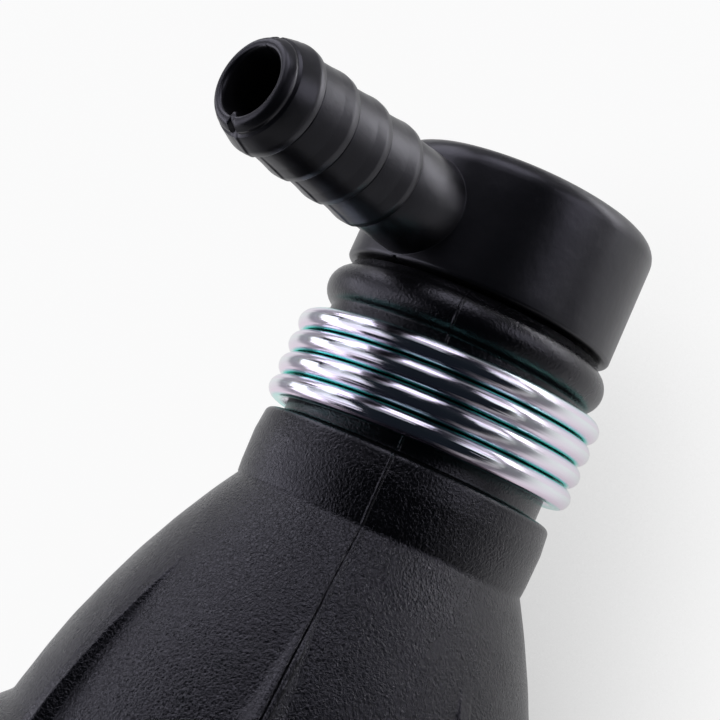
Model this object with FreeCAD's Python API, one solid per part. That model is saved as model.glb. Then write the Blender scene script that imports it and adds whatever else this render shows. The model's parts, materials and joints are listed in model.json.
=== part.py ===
"""Siphon bulb pump: a hollow rubber hand bulb with a check valve in each end.

It is modelled lying on its side, as it lies on a bench. The flow runs along +X, the outlet's side barb
points up, and Z = 0 is the bench. Lengths are millimetres and angles are degrees.
An angle round the bulb is measured from straight up (+Z) towards the near side (-Y).
"""
import FreeCAD, Part
import math
import os

from FreeCAD import Vector

os.makedirs("parts", exist_ok=True)

# Bulb
bulb_half_length = 40.0  # from the middle to where a collar starts
bulb_radius = 25.0
bulb_end_radius = 13.7
bulb_wall = 2.5
collar_length = 6.5
collar_radius = 13.9
collar_round = 0.7
neck_radius = 12.25  # the groove that the clamp sits in
neck_bore_radius = 9.85
neck_end = 21.5  # from the collar's start to the end face of the neck
neck_end_radius = 12.0
bead_start = 17.25  # the rolled bead's places are measured from the collar's start too
bead_middle = 19.3
bead_stop = 21.3
bead_radius = 13.4
cavity_taper = 3.0  # how far the cavity narrows into the neck's bore

# Ribs and grip band
rib_count = 8
rib_start = 7.6  # from the collar's start to where a rib leaves the surface
rib_top_width = 1.2
rib_height = 1.35  # where a rib meets the grip band
rib_root = 1.0  # how deep a rib's foot is set into the wall
band_half_length = 11.6  # at the corners of the band
band_corner_radius = 26.9
band_flat_radius = 25.6  # from the axis to each of the eight flats
band_slope_length = 3.6  # each end of the band slopes down to the bulb at 45 degrees
arrow_length = 17.0
arrow_width = 9.0
arrow_shaft_width = 3.6
arrow_head_length = 7.5
arrow_height = 0.5

# Angles round the bulb
parting_angle = 22.5  # the moulding's parting line, which runs along two of the ribs
squeeze_angle = parting_angle + 90.0
barb_angle = -12.6

# Squeezed walls
wall_half_length = 24.0
wall_half_width = 17.5
wall_gap = 0.4
wall_cut_start = 4.0  # from the axis, along the squeeze
wall_cut_end = 32.0

# Spring clamps, each a coil of round wire
clamp_wire_radius = 1.03
clamp_pitch = 2.13
clamp_turns = 4
clamp_outer_radius = 14.4
clamp_place = 7.85  # from the collar's start to the middle of the first wire end
clamp_end_angle = 208.7  # the wire's ends lie here, on the far side

# Spigots, the same on the elbow and on the inlet connector
spigot_start = 3.5  # from the collar's start to the spigot's free end
spigot_root_radius = 9.25
spigot_crest_radius = 9.8
spigot_nose_radius = 8.9
spigot_tooth_length = 4.0
spigot_tooth_count = 3
spigot_bore_radius = 7.95
spigot_bore_length = 12.6
flange_place = 21.8  # from the collar's start to the underside of the cap or flange

# Outlet elbow
cap_radius = 12.75
cap_height = 11.75
cap_top_round = 2.2
cap_foot_round = 0.4
cap_roof = 2.3
chamber_radius = 7.2
elbow_barb_place = 26.74  # from the collar's start to the side barb's axis
elbow_barb_reach = 34.6  # from the bulb's axis to the barb's mouth

# Inlet connector
connector_flange_height = 5.0
connector_flange_round = 0.8

# Hose barbs, for a hose of 8 mm bore
barb_crest_radius = 4.8
barb_valley_radius = 4.4
barb_root_radius = 4.6
barb_mouth_radius = 3.75
barb_nose_round = 0.9
barb_bore_radius = 2.86
barb_first_crest = 3.6  # from the mouth to the first crest
barb_pitch = 4.2
barb_crest_count = 4
barb_land = 0.4
barb_length = elbow_barb_reach - cap_radius
barb_root_fillet = 1.2
barb_root_depth = 3.0  # how far the root's flare reaches into the cap

# Check valves, two alike, with places measured downstream from the valve's upstream face
valve_outer_radius = 7.9
valve_length = 12.0
valve_inner_radius = 6.6
valve_seat_thickness = 1.8
valve_orifice_radius = 3.2
valve_lip_radius = 4.0
valve_lip_height = 0.5
seal_gap = 0.02
seal_thickness = 0.8
seal_radius = 5.3
seal_hole_radius = 1.6
poppet_disc_radius = 5.5
poppet_disc_thickness = 1.2
poppet_head_radius = 2.3
poppet_head_thickness = 0.8
poppet_stem_radius = 1.2
poppet_stem_end = 12.6
retainer_place = 10.2
retainer_thickness = 1.5
retainer_hub_radius = 2.8
retainer_hole_radius = 1.27
retainer_ring_radius = 6.55
retainer_ring_width = 1.1
retainer_spokes = 3
retainer_spoke_width = 1.5
spring_radius = 2.35
spring_wire_radius = 0.25
spring_turns = 5
fit_gap = 0.05

# Places worked out from the sizes above
connector_end = bulb_half_length + flange_place + connector_flange_height + barb_length
cap_end = bulb_half_length + flange_place + cap_height
middle = (connector_end - cap_end) / 2
axis_height = band_flat_radius
origin_shift = Vector(middle, 0, axis_height)
along = Vector(1, 0, 0)


def around(angle):
    """The direction that points away from the axis at an angle round the bulb."""
    turn = math.radians(angle)
    return Vector(0, -math.sin(turn), math.cos(turn))


def line(a, b):
    return Part.LineSegment(Vector(*a), Vector(*b)).toShape()


def arc(a, b, c):
    return Part.Arc(Vector(*a), Vector(*b), Vector(*c)).toShape()


def chain(points):
    """Straight edges through (place, radius) points, in the plane Y = 0."""
    return [line((a[0], 0, a[1]), (b[0], 0, b[1])) for a, b in zip(points, points[1:])]


def spin(edges):
    """A solid turned round the X axis from edges that run from the axis back to the axis."""
    ordered = Part.__sortEdges__(edges)
    first = ordered[0].firstVertex(True).Point
    last = ordered[-1].lastVertex(True).Point
    ordered.append(Part.LineSegment(last, first).toShape())
    face = Part.Face(Part.Wire(ordered))
    solid = face.revolve(Vector(0, 0, 0), along, 360)
    return Part.makeSolid(solid) if solid.ShapeType == "Shell" else solid


def turned(points):
    """A turned solid whose outline is straight between (place, radius) points."""
    ends = [(points[0][0], 0)] + list(points) + [(points[-1][0], 0)]
    kept = [p for i, p in enumerate(ends) if i == 0 or p != ends[i - 1]]
    return spin(chain(kept))


def tube(start, end, outer, inner):
    return turned([(start, outer), (end, outer)]).cut(turned([(start - 1, inner), (end + 1, inner)]))


def facing(shape, direction):
    """Turns a shape built along +X so that it runs along another direction from the origin."""
    turn = FreeCAD.Rotation(along, direction)
    out = shape.copy()
    out.transformShape(FreeCAD.Placement(Vector(0, 0, 0), turn).toMatrix())
    return out


def helix(radius, wire_radius, pitch, turns, start_angle):
    """Round wire wound to the right along +X, from X = 0, starting at an angle round the axis.
    It is swept in quarter turns, because a mesh of one long swept face doesn't follow the face.
    """
    edges = []
    for k in range(4 * turns):
        quarter = Part.makeHelix(pitch, pitch / 4, radius)
        quarter.rotate(Vector(0, 0, 0), Vector(0, 0, 1), 90 * k)
        quarter.translate(Vector(0, 0, k * pitch / 4))
        edges += quarter.Edges
    path = Part.Wire(edges)
    path.rotate(Vector(0, 0, 0), Vector(0, 1, 0), 90)
    path.rotate(Vector(0, 0, 0), along, start_angle + 180)
    first = path.Edges[0]
    start = first.valueAt(first.FirstParameter)
    tangent = first.tangentAt(first.FirstParameter)
    section = Part.Wire(Part.makeCircle(wire_radius, start, tangent))
    return path.makePipeShell([section], True, True)


# Bulb moulding

arc_radius = (bulb_half_length**2 + (bulb_radius - bulb_end_radius) ** 2) / (2 * (bulb_radius - bulb_end_radius))
arc_centre = bulb_radius - arc_radius


def bulb_surface(place, inset=0.0):
    """The bulb's radius at a distance from its middle."""
    return arc_centre + math.sqrt((arc_radius - inset) ** 2 - place**2)


def neck_outline(side):
    """The outside of one neck, from the bulb's arc to the axis, on the side +1 or -1."""
    def at(place):
        return side * (bulb_half_length + place)
    half = collar_round * (1 - math.sqrt(0.5))
    edges = chain([
        (at(0), bulb_end_radius),
        (at(collar_length - collar_round), collar_radius),
    ])
    edges.append(arc(
        (at(collar_length - collar_round), 0, collar_radius),
        (at(collar_length - half), 0, collar_radius - half),
        (at(collar_length), 0, collar_radius - collar_round),
    ))
    edges += chain([
        (at(collar_length), collar_radius - collar_round),
        (at(collar_length), neck_radius),
        (at(bead_start), neck_radius),
    ])
    edges.append(arc(
        (at(bead_start), 0, neck_radius),
        (at(bead_middle), 0, bead_radius),
        (at(bead_stop), 0, neck_radius),
    ))
    edges += chain([
        (at(bead_stop), neck_radius),
        (at(neck_end), neck_end_radius),
        (at(neck_end), 0),
    ])
    return edges


def grip_band():
    """Eight flats with rounded corners, sloping down to the bulb at both ends."""
    side = 2 * band_corner_radius
    prism = None
    for k in range(rib_count // 2):
        slab = Part.makeBox(side, side, 2 * band_flat_radius)
        slab.translate(Vector(-side / 2, -side / 2, -band_flat_radius))
        slab.rotate(Vector(0, 0, 0), along, k * 360 / rib_count)
        prism = slab if prism is None else prism.common(slab)
    foot = band_corner_radius - band_slope_length
    end = band_half_length + band_slope_length
    keep = turned([
        (-end, foot),
        (-band_half_length, band_corner_radius),
        (band_half_length, band_corner_radius),
        (end, foot),
    ])
    return prism.common(keep)


def rib(side, angle):
    """One rib, which rises out of the bulb and runs into the grip band."""
    first = bulb_half_length - rib_start
    last = band_half_length + band_slope_length / 2
    count = 5
    sections = []
    for k in range(count):
        share = k / (count - 1)
        place = first + (last - first) * share
        height = rib_height * (1 - (1 - share) ** 1.6) - 0.1 * (1 - share)
        top = bulb_surface(place) + height
        foot = bulb_surface(place) - rib_root
        half = rib_top_width / 2
        spread = half + top - foot
        corners = [(-spread, foot), (-half, top), (half, top), (spread, foot)]
        points = [Vector(side * place, y, z) for y, z in corners]
        sections.append(Part.makePolygon(points + points[:1]))
    fin = Part.makeLoft(sections, True, False)
    fin.rotate(Vector(0, 0, 0), along, angle)
    return fin


def flow_arrow(angle):
    """A plain raised arrow on one flat of the grip band, pointing downstream."""
    tip = arrow_length / 2
    neck = tip - arrow_head_length
    shaft = arrow_shaft_width / 2
    head = arrow_width / 2
    outline = [(-tip, -shaft), (neck, -shaft), (neck, -head), (tip, 0), (neck, head), (neck, shaft), (-tip, shaft)]
    low = band_flat_radius - arrow_height
    points = [Vector(x, y, low) for x, y in outline]
    arrow = Part.Face(Part.makePolygon(points + points[:1])).extrude(Vector(0, 0, 2 * arrow_height))
    arrow.rotate(Vector(0, 0, 0), along, angle)
    return arrow


def cavity():
    """The hollow of the bulb with the bores of both necks."""
    end = bulb_half_length + neck_end + 1
    narrow = bulb_half_length + cavity_taper
    mouth = bulb_surface(bulb_half_length, bulb_wall)
    edges = [arc(
        (-bulb_half_length, 0, mouth),
        (0, 0, bulb_radius - bulb_wall),
        (bulb_half_length, 0, mouth),
    )]
    for side in (1, -1):
        edges += chain([
            (side * bulb_half_length, mouth),
            (side * narrow, neck_bore_radius),
            (side * end, neck_bore_radius),
            (side * end, 0),
        ])
    return spin(edges)


def whole_bulb():
    outline = [arc(
        (-bulb_half_length, 0, bulb_end_radius),
        (0, 0, bulb_radius),
        (bulb_half_length, 0, bulb_end_radius),
    )]
    body = spin(outline + neck_outline(1) + neck_outline(-1))
    extras = [grip_band(), flow_arrow(90), flow_arrow(-90)]
    for k in range(rib_count):
        for side in (1, -1):
            extras.append(rib(side, parting_angle + k * 360 / rib_count))
    return body.multiFuse(extras).removeSplitter().cut(cavity())


def squeeze_window(angle, grow):
    """An elliptical bar along the squeeze, which cuts one squeezed wall out of the bulb."""
    ellipse = Part.Ellipse(Vector(0, 0, wall_cut_start), wall_half_length + grow, wall_half_width + grow)
    bar = Part.Face(Part.Wire(ellipse.toShape())).extrude(Vector(0, 0, wall_cut_end - wall_cut_start))
    bar.rotate(Vector(0, 0, 0), along, angle)
    return bar


# Fittings

def spigot_outline(last):
    """(place, radius) points of a spigot's outside, from its free end to a last point."""
    start = bulb_half_length + spigot_start
    points = [(start, spigot_nose_radius)]
    for k in range(spigot_tooth_count):
        foot = start + k * spigot_tooth_length
        crest = foot + spigot_tooth_length
        if k:
            points.append((foot, spigot_root_radius))
        points.append((crest - 0.6, spigot_crest_radius))
        points.append((crest, spigot_crest_radius))
    points.append((crest, spigot_root_radius + 0.2))
    points.append((last, spigot_root_radius + 0.2))
    return points


def barb_outline(length):
    """(place, radius) points of a hose barb's outside, measured back from its mouth."""
    points = [(0, barb_mouth_radius - barb_nose_round), (0.25, barb_mouth_radius - 0.25)]
    points.append((barb_nose_round, barb_mouth_radius + 0.05))
    for k in range(barb_crest_count):
        crest = barb_first_crest + k * barb_pitch
        if k:
            points.append((crest - barb_pitch, barb_valley_radius))
        points.append((crest - barb_land, barb_crest_radius))
        points.append((crest, barb_crest_radius))
    points.append((crest, barb_valley_radius))
    points.append((length, barb_root_radius))
    return points


def barb(length, overlap):
    """A solid hose barb along +X with its mouth at X = 0, running back to -length - overlap."""
    points = [(-place, radius) for place, radius in barb_outline(length)]
    points.append((-length - overlap, barb_root_radius))
    return turned(points)


def outlet_elbow():
    """Spigot, round cap and side barb, moulded in one, with the valve's bore and a chamber above it."""
    under = bulb_half_length + flange_place
    top = under + cap_height
    edges = chain([(bulb_half_length + spigot_start, 0)] + spigot_outline(under))
    edges += chain([
        (under, spigot_root_radius + 0.2),
        (under, cap_radius - cap_foot_round),
        (under + cap_foot_round, cap_radius),
        (top - cap_top_round, cap_radius),
    ])
    slack = cap_top_round * (1 - math.sqrt(0.5))
    edges.append(arc(
        (top - cap_top_round, 0, cap_radius),
        (top - slack, 0, cap_radius - slack),
        (top, 0, cap_radius - cap_top_round),
    ))
    edges += chain([(top, cap_radius - cap_top_round), (top, 0)])
    body = spin(edges)
    overlap = 5.5
    side_barb = facing(barb(barb_length, overlap), around(barb_angle))
    mouth = around(barb_angle) * elbow_barb_reach
    side_barb.translate(mouth + Vector(bulb_half_length + elbow_barb_place, 0, 0))
    flare = turned([
        (-barb_length - barb_root_depth, barb_root_radius + 1.5 * barb_root_fillet),
        (-barb_length, barb_root_radius + 0.3 * barb_root_fillet),
        (-barb_length + barb_root_fillet, barb_root_radius - 0.05),
    ])
    flare = facing(flare, around(barb_angle))
    flare.translate(mouth + Vector(bulb_half_length + elbow_barb_place, 0, 0))
    over_cap = turned([(under, 2 * cap_radius), (top, 2 * cap_radius)])
    body = body.fuse(side_barb).fuse(flare.common(over_cap))
    valve_end = bulb_half_length + spigot_start + spigot_bore_length
    hollow = turned([
        (bulb_half_length + spigot_start - 1, spigot_bore_radius),
        (valve_end, spigot_bore_radius),
        (valve_end, chamber_radius),
        (top - cap_roof, chamber_radius),
    ])
    passage = facing(turned([(0, barb_bore_radius), (elbow_barb_reach + 1, barb_bore_radius)]), around(barb_angle))
    passage.translate(Vector(bulb_half_length + elbow_barb_place, 0, 0))
    return body.cut(hollow).cut(passage).removeSplitter()


def inlet_connector():
    """Spigot, flange and a straight hose barb, moulded in one. It is built on +X and turned to -X."""
    under = bulb_half_length + flange_place
    top = under + connector_flange_height
    mouth = top + barb_length
    edges = chain([(bulb_half_length + spigot_start, 0)] + spigot_outline(under))
    edges += chain([
        (under, spigot_root_radius + 0.2),
        (under, cap_radius - cap_foot_round),
        (under + cap_foot_round, cap_radius),
        (top - connector_flange_round, cap_radius),
        (top, cap_radius - connector_flange_round),
        (top, barb_root_radius + barb_root_fillet),
        (top + 0.3 * barb_root_fillet, barb_root_radius + 0.3 * barb_root_fillet),
        (top + barb_root_fillet, barb_root_radius),
    ])
    back = [(mouth - place, radius) for place, radius in barb_outline(barb_length - barb_root_fillet)]
    back.reverse()
    edges += chain(back + [(mouth, 0)])
    valve_end = bulb_half_length + spigot_start + spigot_bore_length
    hollow = turned([
        (bulb_half_length + spigot_start - 1, spigot_bore_radius),
        (valve_end, spigot_bore_radius),
        (valve_end, chamber_radius),
        (valve_end + 4, chamber_radius),
        (valve_end + 4 + chamber_radius - barb_bore_radius, barb_bore_radius),
        (mouth + 1, barb_bore_radius),
    ])
    body = spin(edges).cut(hollow)
    body.rotate(Vector(0, 0, 0), Vector(0, 0, 1), 180)
    return body


# Check valve pieces, built with the upstream face at X = 0

lip_top = valve_seat_thickness + valve_lip_height
seal_start = lip_top + seal_gap
disc_start = seal_start + seal_thickness
disc_end = disc_start + poppet_disc_thickness


def valve_body():
    """A cup with a raised round seat, pushed into the spigot."""
    outside = turned([
        (0, valve_outer_radius - 0.3),
        (0.3, valve_outer_radius),
        (valve_length, valve_outer_radius),
    ])
    inside = tube(valve_seat_thickness, valve_length + 1, valve_inner_radius, valve_lip_radius)
    above_lip = turned([(lip_top, valve_inner_radius), (valve_length + 1, valve_inner_radius)])
    orifice = turned([(-1, valve_orifice_radius), (lip_top + 1, valve_orifice_radius)])
    return outside.cut(inside).cut(above_lip).cut(orifice)


def poppet():
    """A disc with a guide stem downstream and a small head upstream that holds the seal."""
    return turned([
        (seal_start - fit_gap - poppet_head_thickness, poppet_head_radius),
        (seal_start - fit_gap, poppet_head_radius),
        (seal_start - fit_gap, seal_hole_radius - fit_gap),
        (disc_start, seal_hole_radius - fit_gap),
        (disc_start, poppet_disc_radius),
        (disc_end, poppet_disc_radius),
        (disc_end, poppet_stem_radius),
        (poppet_stem_end, poppet_stem_radius),
    ])


def poppet_seal():
    return tube(seal_start, disc_start, seal_radius, seal_hole_radius)


def spring_retainer():
    """A ring and a guide hub joined by spokes, snapped into the cup's open end."""
    end = retainer_place + retainer_thickness
    body = tube(retainer_place, end, retainer_ring_radius, retainer_ring_radius - retainer_ring_width)
    body = body.fuse(turned([(retainer_place, retainer_hub_radius), (end, retainer_hub_radius)]))
    for k in range(retainer_spokes):
        reach = retainer_ring_radius - retainer_ring_width / 2
        spoke = Part.makeBox(retainer_thickness, retainer_spoke_width, reach)
        spoke.translate(Vector(retainer_place, -retainer_spoke_width / 2, 0))
        spoke.rotate(Vector(0, 0, 0), along, k * 360 / retainer_spokes)
        body = body.fuse(spoke)
    hole = turned([(retainer_place - 1, retainer_hole_radius), (end + 1, retainer_hole_radius)])
    return body.cut(hole).removeSplitter()


def valve_spring():
    """A light coil spring between the poppet's disc and the retainer."""
    room = retainer_place - disc_end - 2 * fit_gap - 2 * spring_wire_radius
    coil = helix(spring_radius, spring_wire_radius, room / spring_turns, spring_turns, 0)
    coil.translate(Vector(disc_end + fit_gap + spring_wire_radius, 0, 0))
    return coil


def clamp_coil():
    """Four close turns of zinc-plated spring wire, in the groove of the outlet neck."""
    radius = clamp_outer_radius - clamp_wire_radius
    coil = helix(radius, clamp_wire_radius, clamp_pitch, clamp_turns, clamp_end_angle)
    coil.translate(Vector(bulb_half_length + clamp_place, 0, 0))
    return coil


def save(name, shape):
    """Moves a piece to its place in the part's own frame and writes its file."""
    piece = shape.copy()
    piece.translate(origin_shift)
    solids = piece.Solids
    good = piece.isValid() and all(s.Volume > 0 for s in solids)
    print(f"{name}: {len(solids)} solid, {sum(s.Volume for s in solids):.1f} mm3, valid {good}")
    (solids[0] if len(solids) == 1 else piece).exportStep(f"parts/{name}.step")


bulb = whole_bulb()
near_wall = bulb.common(squeeze_window(squeeze_angle, 0))
far_wall = bulb.common(squeeze_window(squeeze_angle + 180, 0))
frame = bulb.cut(squeeze_window(squeeze_angle, wall_gap)).cut(squeeze_window(squeeze_angle + 180, wall_gap))
save("bulb", frame)
save("near_squeeze_wall", near_wall)
save("far_squeeze_wall", far_wall)

save("outlet_elbow", outlet_elbow())
save("inlet_connector", inlet_connector())

outlet_clamp = clamp_coil()
save("outlet_clamp_coil", outlet_clamp)
inlet_clamp = outlet_clamp.copy()
inlet_clamp.rotate(Vector(0, 0, 0), Vector(0, 0, 1), 180)
save("inlet_clamp_coil", inlet_clamp)

valve_places = {
    "outlet": bulb_half_length + spigot_start + 0.4,
    "inlet": -(bulb_half_length + spigot_start + 0.4 + valve_length),
}
for end_name, place in valve_places.items():
    pieces = {
        "valve_body": valve_body(),
        "poppet": poppet(),
        "poppet_seal": poppet_seal(),
        "valve_spring": valve_spring(),
        "spring_retainer": spring_retainer(),
    }
    for piece_name, piece_shape in pieces.items():
        piece_shape.translate(Vector(place, 0, 0))
        save(f"{end_name}_{piece_name}", piece_shape)
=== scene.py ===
"""Siphon bulb pump: the looks of a hollow rubber hand bulb with a hose fitting clamped in each end.

Lengths are millimetres until a mesh is made, and angles are degrees. A place is measured along the bulb's
axis from its middle, towards the outlet (+X). An angle round the bulb is measured from straight up (+Z)
towards the near side (-Y).
"""
import json
import math

import bmesh
import bpy
import numpy as np
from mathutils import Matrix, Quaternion, Vector


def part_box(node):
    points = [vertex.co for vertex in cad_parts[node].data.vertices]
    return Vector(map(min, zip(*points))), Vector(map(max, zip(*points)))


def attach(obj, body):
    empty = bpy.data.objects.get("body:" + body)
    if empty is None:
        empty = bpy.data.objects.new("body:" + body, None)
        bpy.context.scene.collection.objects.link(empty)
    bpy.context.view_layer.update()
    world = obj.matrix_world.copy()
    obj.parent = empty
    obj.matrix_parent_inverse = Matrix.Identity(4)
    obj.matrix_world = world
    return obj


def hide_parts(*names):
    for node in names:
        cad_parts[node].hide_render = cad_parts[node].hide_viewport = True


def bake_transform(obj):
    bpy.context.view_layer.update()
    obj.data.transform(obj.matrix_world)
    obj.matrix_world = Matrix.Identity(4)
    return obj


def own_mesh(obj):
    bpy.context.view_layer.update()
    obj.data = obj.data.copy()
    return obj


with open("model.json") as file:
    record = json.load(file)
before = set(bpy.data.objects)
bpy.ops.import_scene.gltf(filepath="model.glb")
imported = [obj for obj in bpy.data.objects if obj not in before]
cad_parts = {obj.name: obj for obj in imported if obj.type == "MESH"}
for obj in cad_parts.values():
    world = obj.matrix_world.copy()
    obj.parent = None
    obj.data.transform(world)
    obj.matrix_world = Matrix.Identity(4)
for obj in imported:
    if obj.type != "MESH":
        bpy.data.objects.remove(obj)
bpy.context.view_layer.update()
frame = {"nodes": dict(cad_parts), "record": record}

MM = 0.001

# Where the part lies, taken from the frame
mounts = {m["name"]: m for m in frame["record"]["mounts"]}
bulb_low, bulb_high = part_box("bulb")
middle = (bulb_low.x + bulb_high.x) / 2 / MM
axis_height = mounts["inlet_hose_barb"]["pos_m"][2] / MM

# Bulb
bulb_half_length = 40.0
bulb_radius = 25.0
bulb_end_radius = 13.7
bulb_wall = 2.5
collar_end = 46.5
collar_radius = 13.9
neck_radius = 12.25
neck_bore_radius = 9.85
bead_start = 57.25
bead_stop = 60.9
bead_radius = 13.4
neck_end = 61.5
neck_end_radius = 12.0
cavity_narrow_place = 43.0
parting_angle = 22.5
squeeze_angle = 112.5
skin_waviness = 0.03  # how far the moulded skin wanders from its true shape
skin_step = 0.4  # between the rows of points on the skin

# Ribs, grip band and arrows
rib_spacing = 45.0  # degrees, also between the band's flats
rib_first_place = 32.4
rib_rise_run = 4.0  # along which the rib's flash and groove grow
rib_last_place = 13.4
rib_top_width = 1.2
parting_rib_top_width = 0.7
rib_height = 1.35
rib_rise_power = 1.6  # above 1 the rib rises steeply from its end, then levels out
rib_end_sink = 0.1  # how far below the skin the rib starts
rib_edge_round = 0.3
rib_foot_round = 0.2
rib_flank_slope = 2.2
parting_rib_flank_slope = 0.62
low_rib_share = 0.35  # of the rib in the middle of each half
band_half_length = 11.6
band_corner_radius = 26.9
band_flat_radius = 25.57
band_edge_round = 0.5
arrow_length = 17.0
arrow_width = 9.0
arrow_shaft_width = 3.6
arrow_head_length = 7.5
arrow_height = 0.5
arrow_shaft_overlap = 0.5  # into the head
arrow_edge_start = -0.25
arrow_edge_stop = 0.3

# Parting line: a groove on the skin with flash beside it, and a raised line on the collars and beads
groove_depth = 0.12
groove_half_width = 0.14
rib_groove_extra_depth = 0.1
rib_groove_extra_half_width = 0.05
flash_height = 0.12
flash_place = 0.24
rib_flash_extra_height = 0.2
rib_flash_extra_place = 0.28
flash_half_width = 0.12
flash_top_half_width = 0.02
near_flash_share = 0.9
far_flash_share = 0.15
collar_line_height = 0.2
neck_line_height = 0.08
line_half_width = 0.16
line_top_half_width = 0.06

# Fittings
barb_angle = -12.6
cap_under = 61.8
cap_top = 73.55
cap_radius = 12.75
cap_top_round = 2.0
cap_foot_round = 0.4
cap_slit_height = 1.4
cap_slit_depth = 0.45
cap_mould_line_height = 0.05
cap_roof_place = 71.25
chamber_radius = 7.2
elbow_barb_place = 66.74
elbow_barb_reach = 34.6
barb_bore_radius = 2.86
barb_first_crest = 3.6
barb_pitch = 4.2
barb_crest_count = 4
barb_crest_radius = 4.8
barb_valley_radius = 4.4
barb_root_radius = 4.6
barb_length = elbow_barb_reach - cap_radius
barb_fillet = 0.05
barb_stub_start = 10.0  # from the cap's axis, inside the cap's wall
barb_stub_end = 6.8
barb_stub_radius = 3.6
lip_place = 0.15  # the mouth's rim is set back from the barb's reach
lip_slit_depth = 0.42
under_ridge_height = 0.1
over_ridge_height = 0.06
passage_radius = 3.9  # of the hole in the cap's wall for the barb's stub
passage_start = 6.0
passage_end = cap_radius - 1.2
flange_top = cap_under + 5.0
spigot_start = 43.5
spigot_end_radius = 8.9
spigot_pitch = 4.0
spigot_crest_radius = 9.8
spigot_root_radius = 9.25
spigot_bore_radius = 7.95
spigot_bore_end = 56.1

# Clamp coils
wire_radius = 1.03
coil_radius = 13.37
coil_pitch = 2.13
coil_turns = 4
coil_place = 47.85
coil_end_angle = 208.7

# Valve springs
spring_radius = 2.35
spring_thickness = 0.5
spring_turns = 5


# Points and meshes

def spot(place, radius, angle):
    """Points of the row frame in millimetres, from places, radii and angles that may be arrays."""
    turn = np.radians(angle)
    x = middle + place
    y = -radius * np.sin(turn)
    z = axis_height + radius * np.cos(turn)
    return np.stack(np.broadcast_arrays(x, y, z), axis=-1)


def soft_max(a, b, reach):
    """The larger of two values, with a rounded change from one to the other."""
    share = np.clip(0.5 + 0.5 * (a - b) / reach, 0, 1)
    return b + (a - b) * share + reach * share * (1 - share) / 2


def soft_min(a, b, reach):
    """The smaller of two values, with a rounded change from one to the other."""
    return -soft_max(-a, -b, reach)


def smooth_step(value, start, end):
    """0 before the start, 1 past the end, and a smooth change between them."""
    share = np.clip((value - start) / (end - start), 0, 1)
    return share * share * (3 - 2 * share)


def near_to(distance, full, none):
    """1 up to the full distance, 0 beyond the none distance, and a smooth change between them."""
    return smooth_step(-distance, -none, -full)


def rounded(corners, steps=6):
    """An outline from (place, radius, round) corners, where each round becomes a tangent arc."""
    outline = []
    for k, (place, radius, size) in enumerate(corners):
        here = np.array([place, radius])
        if size == 0 or k in (0, len(corners) - 1):
            outline.append(here)
            continue
        before = np.array(corners[k - 1][:2]) - here
        after = np.array(corners[k + 1][:2]) - here
        room = 0.5 * min(np.linalg.norm(before), np.linalg.norm(after))
        before /= np.linalg.norm(before)
        after /= np.linalg.norm(after)
        half = math.acos(np.clip(before @ after, -1, 1)) / 2
        run = min(size / math.tan(half), room)
        bisector = (before + after) / np.linalg.norm(before + after)
        centre = here + bisector * run / math.cos(half)
        first = here + before * run - centre
        last = here + after * run - centre
        spread = math.pi - 2 * half
        for step in np.linspace(0, 1, steps):
            weights = np.sin([(1 - step) * spread, step * spread]) / math.sin(spread)
            outline.append(centre + weights[0] * first + weights[1] * last)
    return np.array(outline)


def quads(rows, columns, wrap_rows=False, wrap_columns=False):
    """Faces of a grid of points whose rows or columns may close on themselves."""
    row = np.arange(rows if wrap_rows else rows - 1)[:, None]
    column = np.arange(columns if wrap_columns else columns - 1)[None, :]
    next_row = (row + 1) % rows
    next_column = (column + 1) % columns
    corners = [
        row * columns + column,
        next_row * columns + column,
        next_row * columns + next_column,
        row * columns + next_column,
    ]
    return np.stack(np.broadcast_arrays(*corners), axis=-1).reshape(-1, 4).tolist()


def new_piece(name, points, faces, material, sharp_angle=50):
    """A closed smooth mesh object from points in millimetres."""
    same_point = 0.0001 * MM
    mesh = bpy.data.meshes.new(name)
    mesh.from_pydata((np.asarray(points).reshape(-1, 3) * MM).tolist(), [], faces)
    shape = bmesh.new()
    shape.from_mesh(mesh)
    bmesh.ops.remove_doubles(shape, verts=shape.verts, dist=same_point)
    bmesh.ops.recalc_face_normals(shape, faces=shape.faces)
    shape.to_mesh(mesh)
    shape.free()
    mesh.shade_smooth()
    mesh.set_sharp_from_angle(angle=math.radians(sharp_angle))
    mesh.materials.append(material)
    made = bpy.data.objects.new(name, mesh)
    bpy.context.scene.collection.objects.link(made)
    return made


# Materials

def linear(hex_text):
    """A linear colour from an sRGB hex text."""
    shares = [int(hex_text[k:k + 2], 16) / 255 for k in (1, 3, 5)]
    colour = [s / 12.92 if s <= 0.04045 else ((s + 0.055) / 1.055) ** 2.4 for s in shares]
    return (*colour, 1.0)


def add_node(tree, kind, inputs=None, **settings):
    """Adds a node with its settings, and with inputs that are values or sockets to link from."""
    made = tree.nodes.new(kind)
    for key, value in settings.items():
        setattr(made, key, value)
    for key, value in (inputs or {}).items():
        if isinstance(value, bpy.types.NodeSocket):
            tree.links.new(value, made.inputs[key])
        else:
            made.inputs[key].default_value = value
    return made


def start_material(name, **shader_values):
    """A material with one Principled shader, and the object's own coordinates in millimetres."""
    material = bpy.data.materials.new(name)
    material.use_nodes = True
    tree = material.node_tree
    tree.nodes.clear()
    shader = add_node(tree, "ShaderNodeBsdfPrincipled")
    for key, value in shader_values.items():
        shader.inputs[key.replace("_", " ")].default_value = value
    add_node(tree, "ShaderNodeOutputMaterial", {"Surface": shader.outputs[0]})
    where = add_node(tree, "ShaderNodeTexCoord").outputs["Object"]
    place = add_node(tree, "ShaderNodeVectorMath", {
        0: where, "Scale": 1 / MM,
    }, operation="SCALE").outputs[0]
    return material, tree, shader, place


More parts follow.
